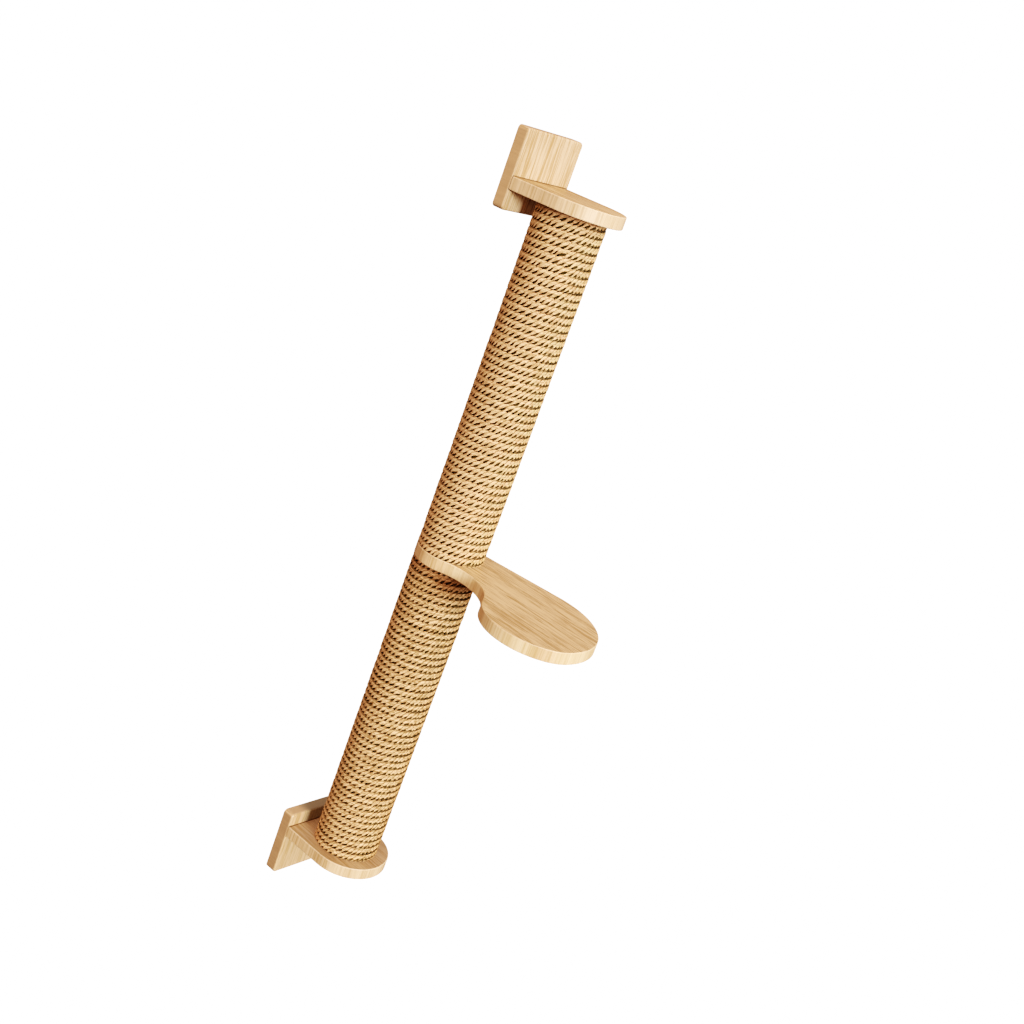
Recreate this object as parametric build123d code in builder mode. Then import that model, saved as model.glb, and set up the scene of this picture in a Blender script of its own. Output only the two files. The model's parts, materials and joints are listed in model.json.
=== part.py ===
"""Wall mounted cat tree: two D-shaped shelves on wall plates, a rope-wound post between them,
and a swivelling step that is held halfway up the post.

The frame: X runs along the wall, -Y points out from it and +Z is up. The wall is the plane Y = 0,
and the origin lies halfway between the two keyhole entries of the upper wall plate.
"""
import os
from math import acos, atan2, cos, degrees, hypot, radians, sin, sqrt

from build123d import *

# ---- Driving dimensions, in millimetres -------------------------------------------------------
board = 18.0  # every wooden board is sawn from the same stock
plate_width = 127.0  # the wall plates and the shelves are flush with each other
plate_corner = 6.0  # rounding of a wall plate's four corners, seen from the front
plate_round = 3.0  # rounding along the front edges of a wall plate
shelf_round = 1.5  # rounding along the edges of a shelf
shelf_beyond_post = 20.0  # from the rope to the tip of a shelf
post_gap = 15.5  # from a wall plate's front face to the rope

upper_plate_above = 65.0  # wall plate showing above the upper shelf
upper_plate_below = 28.0  # and below it
lower_plate_above = 21.0
lower_plate_below = 68.0
upper_post_length = 505.5
lower_post_length = 487.5

rope_diameter = 11.0
tube_radius = 39.0  # outside of a post half's core tube, under the rope
tube_wall = 5.0
plug_thickness = 30.0  # wooden plugs that close the tube's ends
rope_end_gap = 0.5  # the winding stops this short of the boards

# The step is a paddle, a collar round the post and a wide lobe, drawn with tangent arcs.
# Places are measured from the post's axis: to the side (X), and out from the wall.
lobe_radius = 111.4
lobe_side = -40.0
lobe_out = 168.4
toe_radius = 64.4
toe_start = -102.2  # degrees, where the lobe's arc gives way to the toe's
toe_end = -135.9  # degrees, where the toe's arc gives way to the arc of the side
side_radius = 83.4
neck_radius = 76.0  # hollow of the neck, between the side and the collar
step_round = 1.2

# Keyhole hangers: the wall screws' heads go in at the round entry and slide up the slot.
keyhole_spacing = 76.0
keyhole_above_shelf = 30.0  # upper plate, entry above the upper shelf
keyhole_below_shelf = 38.0  # lower plate, entry below the lower shelf
keyhole_entry_radius = 5.0
keyhole_slot_width = 5.4
keyhole_travel = 10.0  # from the entry's centre to the end of the slot
hanger_width = 20.0
hanger_length = 44.0
hanger_thickness = 2.0
hanger_pocket_depth = 10.0  # room behind the hanger for the wall screw's head
hanger_pocket_room = 1.5  # by which that pocket is wider than the entry, all round
hanger_screw_inset = 5.5  # from either end of a hanger to its screw
hanger_screw_radius = 1.6
hanger_screw_head_radius = 3.2
hanger_screw_length = 14.0

bracket_screw_spacing = 88.0
bracket_screw_radius = 2.5
bracket_screw_head_radius = 4.8
bracket_screw_length = 52.0
dowel_spacing = 44.0
dowel_radius = 4.0
dowel_length = 36.0
dowel_in_plate = 11.0
dowel_chamfer = 0.8

stud_radius = 4.0  # M8 throughout
stud_chamfer = 1.0
nut_barrel_wall = 1.5
nut_barrel_length = 18.0
nut_flange_radius = 11.0
nut_flange_thickness = 1.6
nut_hold = 12.0  # how far a stud reaches into the post's end
shelf_insert_depth = 13.0
bolt_head_across_flats = 13.0
bolt_head_height = 5.3
washer_radius = 12.0
washer_thickness = 1.6
bolt_room = 0.5  # round the bolt's shank and its washer

tack_radius = 1.0
tack_head_radius = 2.6
tack_head_thickness = 0.8
tack_length = 24.0
tack_inset = 8.0  # from the end of the winding to a tack

fit = 0.1  # clearance round a fastener, and between the rope and the tube
drill_room = 1.0  # by which a blind hole is deeper than what goes in
head_sunk = 0.2  # a countersunk head lies this far below the face
swivel_fit = 0.06  # radial running clearance of the step on its stud

# ---- Heights and places that follow -----------------------------------------------------------
post_radius = tube_radius + rope_diameter
post_stand_off = board + post_gap + post_radius
post_axis = (0, -post_stand_off)
shelf_tip = -(post_stand_off + post_radius + shelf_beyond_post)
shelf_arc_start = shelf_tip + plate_width / 2  # where a shelf's straight sides give way to its arc
upper_shelf_top = -keyhole_above_shelf
upper_shelf_bottom = upper_shelf_top - board
upper_plate_top = upper_shelf_top + upper_plate_above
upper_plate_bottom = upper_shelf_bottom - upper_plate_below
step_top = upper_shelf_bottom - upper_post_length
step_bottom = step_top - board
lower_shelf_top = step_bottom - lower_post_length
lower_shelf_bottom = lower_shelf_top - board
lower_plate_top = lower_shelf_top + lower_plate_above
lower_plate_bottom = lower_shelf_bottom - lower_plate_below
lower_keyhole_height = lower_shelf_bottom - keyhole_below_shelf
hanger_screw_spread = hanger_length - 2 * hanger_screw_inset
nut_barrel_radius = stud_radius + nut_barrel_wall
stud_reach = plug_thickness - nut_barrel_length + nut_hold  # from a post's end into its tee nut

os.makedirs("parts", exist_ok=True)


def save(part, label):
    """Names a finished piece and writes it to its own file."""
    part.label = label
    export_step(part, f"parts/{label}.step")


# ---- Wall plates and shelves ------------------------------------------------------------------
def wall_plate(top, bottom, shelf_middle, entry_height):
    """A board against the wall, with recesses for two keyhole hangers in its back."""
    hanger_middle = entry_height + keyhole_travel / 2
    pocket_width = 2 * (keyhole_entry_radius + hanger_pocket_room)
    with BuildPart() as plate:
        with BuildSketch(Plane.XZ):
            with Locations((0, (top + bottom) / 2)):
                RectangleRounded(plate_width, top - bottom, plate_corner)
        extrude(amount=board)
        fillet(plate.faces().sort_by(Axis.Y)[0].edges(), plate_round)
        # recesses for the hangers, and pockets for the heads of the wall screws
        with BuildSketch(Plane.XZ):
            with GridLocations(keyhole_spacing, 0, 2, 1):
                with Locations((0, hanger_middle)):
                    SlotOverall(hanger_length + 2 * fit, hanger_width + 2 * fit, rotation=90)
        extrude(amount=hanger_thickness, mode=Mode.SUBTRACT)
        with BuildSketch(Plane.XZ):
            with GridLocations(keyhole_spacing, 0, 2, 1):
                with Locations((0, hanger_middle)):
                    SlotCenterToCenter(keyhole_travel, pocket_width, rotation=90)
        extrude(amount=hanger_thickness + hanger_pocket_depth, mode=Mode.SUBTRACT)
        with BuildSketch(Plane.XZ.offset(hanger_thickness)):
            with GridLocations(keyhole_spacing, hanger_screw_spread, 2, 2):
                with Locations((0, hanger_middle)):
                    Circle(hanger_screw_radius + fit)
        extrude(amount=hanger_screw_length, mode=Mode.SUBTRACT)
        # countersunk screws from the back, and blind dowel holes from the front
        with Locations(Plane.XZ.rotated((180, 0, 0))):
            with Locations((0, -shelf_middle)):
                with GridLocations(bracket_screw_spacing, 0, 2, 1):
                    CounterSinkHole(bracket_screw_radius + fit, bracket_screw_head_radius + fit)
        with BuildSketch(Plane.XZ.offset(board - dowel_in_plate)):
            with Locations((0, shelf_middle)):
                with GridLocations(dowel_spacing, 0, 2, 1):
                    Circle(dowel_radius + fit)
        extrude(amount=dowel_in_plate, mode=Mode.SUBTRACT)
    return plate.part


def shelf_blank(top):
    """A D-shaped board butted against its wall plate, drilled for screws and dowels."""
    middle = top - board / 2
    half_width = plate_width / 2
    with BuildPart() as shelf:
        with BuildSketch(Plane.XY.offset(top - board)):
            with BuildLine():
                Line((-half_width, -board), (-half_width, shelf_arc_start))
                ThreePointArc(
                    (-half_width, shelf_arc_start), (0, shelf_tip), (half_width, shelf_arc_start)
                )
                Line((half_width, shelf_arc_start), (half_width, -board))
                Line((half_width, -board), (-half_width, -board))
            make_face()
        extrude(amount=board)
        rims = shelf.edges().group_by(Axis.Z)[0] + shelf.edges().group_by(Axis.Z)[-1]
        fillet(rims.filter_by(lambda edge: edge.center().Y < -board - fit), shelf_round)
        with BuildSketch(Plane.XZ.offset(board)):
            with Locations((0, middle)):
                with GridLocations(bracket_screw_spacing, 0, 2, 1):
                    Circle(bracket_screw_radius + fit)
        extrude(amount=bracket_screw_length - board + drill_room, mode=Mode.SUBTRACT)
        with BuildSketch(Plane.XZ.offset(board)):
            with Locations((0, middle)):
                with GridLocations(dowel_spacing, 0, 2, 1):
                    Circle(dowel_radius + fit)
        extrude(amount=dowel_length - dowel_in_plate + drill_room, mode=Mode.SUBTRACT)
    return shelf.part


upper_plate = wall_plate(upper_plate_top, upper_plate_bottom, upper_shelf_top - board / 2, 0)
save(upper_plate, "upper_wall_plate")
lower_plate = wall_plate(
    lower_plate_top, lower_plate_bottom, lower_shelf_top - board / 2, lower_keyhole_height
)
save(lower_plate, "lower_wall_plate")

# the upper shelf is drilled from below, so that nothing shows on its top
with BuildPart() as upper_shelf:
    add(shelf_blank(upper_shelf_top))
    with BuildSketch(Plane.XY.offset(upper_shelf_bottom)):
        with Locations(post_axis):
            Circle(nut_barrel_radius + fit)
    extrude(amount=shelf_insert_depth + drill_room, mode=Mode.SUBTRACT)
save(upper_shelf.part, "upper_shelf")

# the lower shelf is drilled through for the bolt, with a counterbore for its washer and head
bolt_counterbore = washer_thickness + bolt_head_height
with BuildPart() as lower_shelf:
    add(shelf_blank(lower_shelf_top))
    with BuildSketch(Plane.XY.offset(lower_shelf_bottom)):
        with Locations(post_axis):
            Circle(washer_radius + bolt_room)
    extrude(amount=bolt_counterbore, mode=Mode.SUBTRACT)
    with BuildSketch(Plane.XY.offset(lower_shelf_bottom)):
        with Locations(post_axis):
            Circle(stud_radius + bolt_room)
    extrude(amount=board, mode=Mode.SUBTRACT)
save(lower_shelf.part, "lower_shelf")


# ---- What fastens a bracket together and to the wall ------------------------------------------
def keyhole_hangers(entry_height):
    """Two steel plates, each with a round entry, a slot above it and two countersunk holes."""
    hanger_middle = entry_height + keyhole_travel / 2
    with BuildPart() as hangers:
        with BuildSketch(Plane.XZ):
            with GridLocations(keyhole_spacing, 0, 2, 1):
                with Locations((0, hanger_middle)):
                    SlotOverall(hanger_length, hanger_width, rotation=90)
                    SlotCenterToCenter(
                        keyhole_travel, keyhole_slot_width, rotation=90, mode=Mode.SUBTRACT
                    )
                with Locations((0, entry_height)):
                    Circle(keyhole_entry_radius, mode=Mode.SUBTRACT)
        extrude(amount=hanger_thickness)
        with Locations(Plane.XZ.rotated((180, 0, 0))):
            with Locations((0, -hanger_middle)):
                with GridLocations(keyhole_spacing, hanger_screw_spread, 2, 2):
                    CounterSinkHole(hanger_screw_radius + fit, hanger_screw_head_radius + fit)
    return hangers.part


def countersunk_screw(shank, head, length):
    """A screw driven towards -Y, with its flat head just under the face Y = 0."""
    cone = head - shank
    with BuildPart() as screw:
        with BuildSketch(Plane.XY):
            with BuildLine():
                Polyline(
                    (0, -head_sunk),
                    (head - head_sunk, -head_sunk),
                    (shank, -head_sunk - cone),
                    (shank, -length + 2 * shank),
                    (0, -length),
                    close=True,
                )
            make_face()
        revolve(axis=Axis.Y)
        # a cross recess for the driver
        with BuildSketch(Plane.XZ.offset(head_sunk)):
            Rectangle(head, head / 5)
            Rectangle(head / 5, head)
        extrude(amount=cone / 2, mode=Mode.SUBTRACT)
    return screw.part


def screws_at(places, shank, head, length):
    """Equal screws as one group, each at its own (x, z)."""
    with BuildPart() as screws:
        with Locations([(x, 0, z) for x, z in places]):
            add(countersunk_screw(shank, head, length))
    return screws.part


def dowels(height):
    """Two wooden pegs between a wall plate and its shelf."""
    with BuildPart() as pegs:
        with BuildSketch(Plane.XZ.offset(board - dowel_in_plate + fit)):
            with Locations((0, height)):
                with GridLocations(dowel_spacing, 0, 2, 1):
                    Circle(dowel_radius)
        extrude(amount=dowel_length)
        chamfer(pegs.edges().filter_by(GeomType.CIRCLE), dowel_chamfer)
    return pegs.part


for bracket, entry_height, shelf_middle in (
    ("upper", 0, upper_shelf_top - board / 2),
    ("lower", lower_keyhole_height, lower_shelf_top - board / 2),
):
    sides = (-1, 1)
    hanger_middle = entry_height + keyhole_travel / 2
    hanger_screw_places = [
        (side * keyhole_spacing / 2, hanger_middle + end * hanger_screw_spread / 2)
        for side in sides
        for end in sides
    ]
    bracket_screw_places = [(side * bracket_screw_spacing / 2, shelf_middle) for side in sides]
    save(keyhole_hangers(entry_height), f"{bracket}_keyhole_hangers")
    save(
        screws_at(
            hanger_screw_places,
            hanger_screw_radius,
            hanger_screw_head_radius,
            hanger_screw_length,
        ),
        f"{bracket}_hanger_screws",
    )
    save(
        screws_at(
            bracket_screw_places,
            bracket_screw_radius,
            bracket_screw_head_radius,
            bracket_screw_length,
        ),
        f"{bracket}_bracket_screws",
    )
    save(dowels(shelf_middle), f"{bracket}_dowels")


# ---- Post halves ------------------------------------------------------------------------------
def drill_for_tacks(heights, radius):
    """Takes radial holes for the rope's tacks out of the part that is being built."""
    with BuildSketch(Plane.XZ.offset(post_stand_off - post_radius)) as holes:
        with Locations([(0, height) for height in heights]):
            Circle(radius)
    extrude(holes.sketch, amount=tack_length + fit, mode=Mode.SUBTRACT)


def post_half(name, bottom, length):
    """A tube closed by two plugs, each with a tee nut, and the rope that is wound round it."""
    top = bottom + length
    tack_heights = (bottom + rope_end_gap + tack_inset, top - rope_end_gap - tack_inset)
    with BuildPart() as tube:
        with BuildSketch(Plane.XY.offset(bottom)):
            with Locations(post_axis):
                Circle(tube_radius)
                Circle(tube_radius - tube_wall, mode=Mode.SUBTRACT)
        extrude(amount=length)
        drill_for_tacks(tack_heights, tack_radius + fit)
    save(tube.part, f"{name}_post_tube")

    for end, face, inward in (("top", top, -1), ("bottom", bottom, 1)):
        with BuildPart() as plug:
            with BuildSketch(Plane.XY.offset(face)):
                with Locations(post_axis):
                    Circle(tube_radius - tube_wall - fit)
                    Circle(nut_barrel_radius + fit, mode=Mode.SUBTRACT)
            extrude(amount=inward * plug_thickness)
            drill_for_tacks(tack_heights, tack_radius + fit)
        save(plug.part, f"{name}_post_{end}_plug")

        # the nut's flange lies on the plug's inner face, and its barrel points outwards
        inner_face = face + inward * plug_thickness
        with BuildPart() as tee_nut:
            with BuildSketch(Plane.XY.offset(inner_face)):
                with Locations(post_axis):
                    Circle(nut_flange_radius)
            extrude(amount=inward * nut_flange_thickness)
            with BuildSketch(Plane.XY.offset(inner_face)):
                with Locations(post_axis):
                    Circle(nut_barrel_radius)
            extrude(amount=-inward * nut_barrel_length)
            with BuildSketch(Plane.XY.offset(inner_face + inward * nut_flange_thickness)):
                with Locations(post_axis):
                    Circle(stud_radius + fit)
            extrude(
                amount=-inward * (nut_flange_thickness + nut_barrel_length), mode=Mode.SUBTRACT
            )
        save(tee_nut.part, f"{name}_post_{end}_tee_nut")

    with BuildPart() as winding:
        with BuildSketch(Plane.XY.offset(bottom + rope_end_gap)):
            with Locations(post_axis):
                Circle(post_radius)
                Circle(tube_radius + fit, mode=Mode.SUBTRACT)
        extrude(amount=length - 2 * rope_end_gap)
        drill_for_tacks(tack_heights, tack_radius + fit)
        for height in tack_heights:
            with BuildSketch(Plane.XZ.offset(post_stand_off - post_radius)):
                with Locations((0, height)):
                    Circle(tack_head_radius + fit)
            extrude(amount=2 * tack_head_thickness, mode=Mode.SUBTRACT)
    save(winding.part, f"{name}_rope_winding")

    # the tacks hold the rope's two ends, on the side that faces the wall
    head_face = post_stand_off - post_radius + tack_head_thickness
    with BuildPart() as tacks:
        for height in tack_heights:
            with BuildSketch(Plane.XZ.offset(head_face)):
                with Locations((0, height)):
                    Circle(tack_head_radius)
            extrude(amount=tack_head_thickness)
            with BuildSketch(Plane.XZ.offset(head_face + tack_head_thickness)):
                with Locations((0, height)):
                    Circle(tack_radius)
            extrude(amount=tack_length - 2 * tack_head_thickness)
    save(tacks.part, f"{name}_rope_tacks")


post_half("upper", step_top, upper_post_length)
post_half("lower", lower_shelf_top, lower_post_length)

# ---- Studs, insert and bolt along the post's axis ---------------------------------------------
with BuildPart() as shelf_insert:
    with BuildSketch(Plane.XY.offset(upper_shelf_bottom)):
        with Locations(post_axis):
            Circle(nut_barrel_radius)
            Circle(stud_radius + fit, mode=Mode.SUBTRACT)
    extrude(amount=shelf_insert_depth)
save(shelf_insert.part, "upper_shelf_insert")

with BuildPart() as upper_stud:
    with BuildSketch(Plane.XY.offset(upper_shelf_bottom - stud_reach)):
        with Locations(post_axis):
            Circle(stud_radius)
    extrude(amount=stud_reach + shelf_insert_depth)
    chamfer(upper_stud.edges().filter_by(GeomType.CIRCLE), stud_chamfer)
save(upper_stud.part, "upper_stud")

with BuildPart() as joining_stud:
    with BuildSketch(Plane.XY.offset(step_bottom - stud_reach)):
        with Locations(post_axis):
            Circle(stud_radius)
    extrude(amount=board + 2 * stud_reach)
    chamfer(joining_stud.edges().filter_by(GeomType.CIRCLE), stud_chamfer)
save(joining_stud.part, "joining_stud")

washer_bottom = lower_shelf_bottom + bolt_head_height
with BuildPart() as bolt_washer:
    with BuildSketch(Plane.XY.offset(washer_bottom)):
        with Locations(post_axis):
            Circle(washer_radius)
            Circle(stud_radius + 2 * fit, mode=Mode.SUBTRACT)
    extrude(amount=washer_thickness)
save(bolt_washer.part, "lower_bolt_washer")

with BuildPart() as lower_bolt:
    with BuildSketch(Plane.XY.offset(lower_shelf_bottom)):
        with Locations(post_axis):
            RegularPolygon(bolt_head_across_flats / 2, 6, major_radius=False)
    extrude(amount=bolt_head_height)
    with BuildSketch(Plane.XY.offset(washer_bottom)):
        with Locations(post_axis):
            Circle(stud_radius)
    extrude(amount=lower_shelf_top - washer_bottom + stud_reach)
    chamfer(lower_bolt.edges().filter_by(GeomType.CIRCLE).sort_by(Axis.Z)[-1], stud_chamfer)
save(lower_bolt.part, "lower_bolt")


# ---- The step ---------------------------------------------------------------------------------
def on_circle(centre, radius, angle):
    """The point of a circle at an angle in degrees."""
    return (centre[0] + radius * cos(radians(angle)), centre[1] + radius * sin(radians(angle)))


def direction(start, end):
    """The angle in degrees of the line from start to end."""
    return degrees(atan2(end[1] - start[1], end[0] - start[0]))


# the lobe, toe and side arcs each turn into the next without a corner
lobe_centre = (lobe_side, -post_stand_off - lobe_out)
toe_centre = on_circle(lobe_centre, lobe_radius - toe_radius, toe_start)
side_centre = on_circle(toe_centre, toe_radius - side_radius, toe_end)

# the neck's circle touches the collar and the side arc from outside
collar_to_neck = post_radius + neck_radius
side_to_neck = side_radius + neck_radius
collar_to_side = hypot(side_centre[0] - post_axis[0], side_centre[1] - post_axis[1])
along = (collar_to_neck**2 - side_to_neck**2 + collar_to_side**2) / (2 * collar_to_side)
neck_angle = direction(post_axis, side_centre) - degrees(
    atan2(sqrt(collar_to_neck**2 - along**2), along)
)
neck_centre = on_circle(post_axis, collar_to_neck, neck_angle)

# the straight flank is the common tangent of the collar and the lobe
lobe_angle = direction(post_axis, lobe_centre)
collar_to_lobe = hypot(lobe_centre[0] - post_axis[0], lobe_centre[1] - post_axis[1])
flank_angle = lobe_angle + degrees(acos((post_radius - lobe_radius) / collar_to_lobe))

side_to_neck_angle = direction(side_centre, neck_centre) - 360
neck_to_side_angle = direction(neck_centre, side_centre)
neck_to_collar_angle = direction(neck_centre, post_axis)

with BuildPart() as step:
    with BuildSketch(Plane.XY.offset(step_bottom)):
        with BuildLine():
            Line(
                on_circle(post_axis, post_radius, flank_angle),
                on_circle(lobe_centre, lobe_radius, flank_angle),
            )
            CenterArc(lobe_centre, lobe_radius, flank_angle, toe_start - flank_angle)
            CenterArc(toe_centre, toe_radius, toe_start, toe_end - toe_start)
            CenterArc(side_centre, side_radius, toe_end, side_to_neck_angle - toe_end)
            CenterArc(
                neck_centre,
                neck_radius,
                neck_to_side_angle,
                neck_to_collar_angle - neck_to_side_angle,
            )
            CenterArc(post_axis, post_radius, neck_angle, flank_angle - 360 - neck_angle)
        make_face()
    extrude(amount=board)
    fillet(step.edges().group_by(Axis.Z)[0] + step.edges().group_by(Axis.Z)[-1], step_round)
    with BuildSketch(Plane.XY.offset(step_bottom)):
        with Locations(post_axis):
            Circle(stud_radius + swivel_fit)
    extrude(amount=board, mode=Mode.SUBTRACT)
save(step.part, "step_board")
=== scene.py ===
import json
import math

import bpy
import numpy as np
from mathutils import Matrix, Vector


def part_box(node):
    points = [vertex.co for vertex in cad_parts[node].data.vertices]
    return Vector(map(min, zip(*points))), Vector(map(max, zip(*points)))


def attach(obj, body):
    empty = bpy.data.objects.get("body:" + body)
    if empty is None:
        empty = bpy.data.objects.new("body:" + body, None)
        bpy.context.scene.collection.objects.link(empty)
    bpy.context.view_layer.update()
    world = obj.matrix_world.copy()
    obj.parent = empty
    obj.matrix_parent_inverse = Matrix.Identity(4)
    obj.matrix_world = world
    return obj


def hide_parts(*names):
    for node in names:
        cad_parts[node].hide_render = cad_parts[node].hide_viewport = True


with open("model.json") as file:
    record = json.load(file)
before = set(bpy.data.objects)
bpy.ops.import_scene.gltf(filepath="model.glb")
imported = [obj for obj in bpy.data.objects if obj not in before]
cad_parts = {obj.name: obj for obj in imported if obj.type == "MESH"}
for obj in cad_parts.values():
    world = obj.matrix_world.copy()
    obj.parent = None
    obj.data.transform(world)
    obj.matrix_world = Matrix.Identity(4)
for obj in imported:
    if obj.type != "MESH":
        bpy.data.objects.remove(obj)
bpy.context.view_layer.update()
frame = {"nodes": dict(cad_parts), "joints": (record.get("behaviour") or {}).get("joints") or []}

# ---------------------------------------------------------------- sizes, in metres
MM = 0.001
POST_X, POST_Y = frame["joints"][0]["pos_m"][:2]
PLATE_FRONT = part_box("upper_wall_plate")[0][1]

ROPE_DIAMETER = 11 * MM
ROPE_PITCH = 10.98 * MM         # from one turn of the winding to the next
ROPE_LAY = 22.4 * MM            # rope length in which a strand goes once round the rope
STRANDS = 3
SQUEEZE = 0.35 * MM             # how far turns press into each other
FLATNESS = 0.13                 # of the rope's face between its neighbours: 1 is round and 0 is flat
FRONT_VALLEY = 1.5 * MM         # height of the lowest valley between turns above its board, at the front
OVERRUN = 0.45                  # turns by which the rope's line runs on past each board
END_ROOM = 0.45 * MM            # from the winding's ends to the boards they press on

# How deep the grooves between strands are, in shares of the rope's radius, and how tightly the strands are
# packed beside them: a high number leaves a narrow groove.
CROWN_GROOVE = 0.02             # where the rope is pressed flat
CROWN_TIGHTNESS = 3
UPPER_GROOVE = 0.30             # where it rolls in towards the turn above
UPPER_TIGHTNESS = 4.5
UPPER_ROLL = (0.40, 0.85)       # from and to which height on its section, in shares of its radius
LOWER_GROOVE = 0.95             # and towards the turn below
LOWER_TIGHTNESS = 2.8
LOWER_ROLL = 0.5                # how far down its section that groove takes to deepen
DEEPEST = 0.9                   # no groove is deeper than this
CORE = 0.12                     # where a strand's mesh closes behind its face

# The winding's irregularities: in how many points of its line each changes, and its size.
POINTS_PER_TURN = 400
STRAY_POINTS = 130              # of a turn's height, whose size each winding has of its own
SINK_POINTS = 110               # of how deep a turn lies
SINK = 0.22 * MM
DRIFT_POINTS = 150              # slow changes of the twist, in radians
DRIFT = 0.9
JITTER_POINTS = 14              # quick changes of the twist
JITTER = 0.30
DEPTH_POINTS = 15               # of the grooves' depth, in shares of it
DEPTH = 0.30
DEPTH_RANGE = (0.35, 1.3)
SWELL_ROWS = 9                  # of a strand's thickness, in shares of it
SWELL = 0.014
SWELL_RANGE = (-0.03, 0.02)

# Where the rows of a strand's mesh lie round the rope, 0 outwards and 90 up, close where its section turns
# fast, and where its points lie across the strand, from one groove to the other.
ROWS = np.radians([-92, -80, -70, -60, -48, -36, -23, -9, 8, 26, 43, 57, 69, 80, 100, 180])
ACROSS = np.array([-1.0, -0.93, -0.78, -0.5, 0.0, 0.5, 0.78, 0.93, 1.0])


# ---------------------------------------------------------------- rope
def smooth_noise(rng, count, step, size):
    """A gentle random line of that many values, with a fresh random value every step of them."""
    knots = rng.normal(0.0, size, count // step + 3)
    at = np.arange(count) / step
    i = at.astype(int)
    t = at - i
    t = t * t * (3 - 2 * t)
    return knots[i] * (1 - t) + knots[i + 1] * t


def smooth(value, low, high):
    """Goes smoothly from 0 to 1 while value goes from low to high."""
    share = np.clip((value - low) / (high - low), 0, 1)
    return share * share * (3 - 2 * share)


def rope_line(winding, seed, slack):
    """How the rope runs on a post half: turns so far, and at each its height, radius, twist, length and how
    deep its grooves are. slack is how much its turns stray up and down."""
    low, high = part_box(winding)
    centre = high.x - POST_X - ROPE_DIAMETER / 2
    start = 1 - FRONT_VALLEY / ROPE_PITCH - OVERRUN
    end = start + (high.z - low.z) / ROPE_PITCH + 2 * OVERRUN
    rng = np.random.default_rng(seed)
    count = int(POINTS_PER_TURN * (end - start))
    turns = np.linspace(start, end, count)
    stray = smooth_noise(rng, count, STRAY_POINTS, slack)
    height = low.z + ROPE_PITCH * (turns - start - OVERRUN) + stray
    radius = centre - np.abs(smooth_noise(rng, count, SINK_POINTS, SINK))
    length = turns * 2 * math.pi * centre
    twist = 2 * math.pi * length / ROPE_LAY
    twist = twist + smooth_noise(rng, count, DRIFT_POINTS, DRIFT)
    twist = twist + smooth_noise(rng, count, JITTER_POINTS, JITTER)
    deep = np.clip(1 + smooth_noise(rng, count, DEPTH_POINTS, DEPTH), *DEPTH_RANGE)
    return turns, height, radius, twist, length, deep


def groove_depth(face, edge, start, deep):
    """How far a strand's face lies below a full round rope, edge being 0 on its crest and 1 in the groove."""
    upper = smooth(np.sin(face), *UPPER_ROLL)
    lower = smooth(-np.sin(face), start, start + LOWER_ROLL)
    sunk = CROWN_GROOVE * edge ** CROWN_TIGHTNESS
    sunk = sunk + UPPER_GROOVE * upper * edge ** UPPER_TIGHTNESS
    sunk = sunk + LOWER_GROOVE * lower * edge ** LOWER_TIGHTNESS * deep
    return np.minimum(sunk, DEEPEST)


def tube_faces(rows, ring):
    """The faces of a closed tube of so many rows of ring points each."""
    first = np.arange(rows - 1)[:, None] * ring
    here = np.arange(ring)[None, :]
    there = (here + 1) % ring
    sides = np.stack([first + here, first + there, first + ring + there, first + ring + here], axis=-1)
    caps = [list(reversed(range(ring))), list(range((rows - 1) * ring, rows * ring))]
    return sides.reshape(-1, 4).tolist() + caps


def wind_strand(name, winding, index, seed, slack, start):
    """One strand of the rope wound on a post half, as a closed tube that follows the rope round. Its "lay"
    says, point by point, how far along and how far round the rope it is, and how near a groove. start is how
    far down the rope's section its lower grooves begin."""
    low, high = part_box(winding)
    turns, height, radius, twist, length, deep = rope_line(winding, seed, slack)
    thick = ROPE_DIAMETER / 2
    tall = ROPE_PITCH / 2 + SQUEEZE
    half = math.pi / STRANDS

    rounds = np.arange(math.ceil(twist[0] / (2 * math.pi)), math.floor(twist[-1] / (2 * math.pi)))
    face = (2 * math.pi * rounds[:, None] + ROWS[None, :]).reshape(-1, 1)
    across = np.append(ACROSS, 0.0)[None, :]
    at = np.interp(face - 2 * half * index - half * across, twist, turns)

    edge = np.abs(across)
    sunk = groove_depth(face, edge, start, np.interp(at, turns, deep))
    rng = np.random.default_rng(seed + 7 + index)
    swell = np.clip(smooth_noise(rng, len(face), SWELL_ROWS, SWELL), *SWELL_RANGE)
    share = (1 + swell[:, None] * (1 - across ** 4)) * (1 - sunk)
    share[:, -1] = CORE

    bulge = np.sign(np.cos(face)) * np.abs(np.cos(face)) ** FLATNESS
    out = np.minimum(np.interp(at, turns, radius) + share * thick * bulge, high.x - POST_X)
    up = np.interp(at, turns, height) + share * tall * np.sin(face)
    round_post = math.pi / 2 + 2 * math.pi * at
    x = POST_X + out * np.cos(round_post)
    y = POST_Y + out * np.sin(round_post)
    z = np.clip(up, low.z - END_ROOM, high.z + END_ROOM)
    points = np.stack([x, y, z], axis=-1).reshape(-1, 3)

    mesh = bpy.data.meshes.new(name)
    mesh.from_pydata(points.tolist(), [], tube_faces(*at.shape))
    along = np.interp(at, turns, length)
    around = np.broadcast_to(face * thick, at.shape)
    groove = np.broadcast_to(edge, at.shape)
    lay = mesh.attributes.new("lay", "FLOAT_VECTOR", "POINT")
    lay.data.foreach_set("vector", np.stack([along, around, groove], axis=-1).astype(np.float32).ravel())
    mesh.shade_smooth()
    mesh.update()
    strand = bpy.data.objects.new(name, mesh)
    bpy.context.scene.collection.objects.link(strand)
    return strand


# ---------------------------------------------------------------- shader nodes
FLOAT = "NodeSocketFloat"
VECTOR = "NodeSocketVector"


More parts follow.
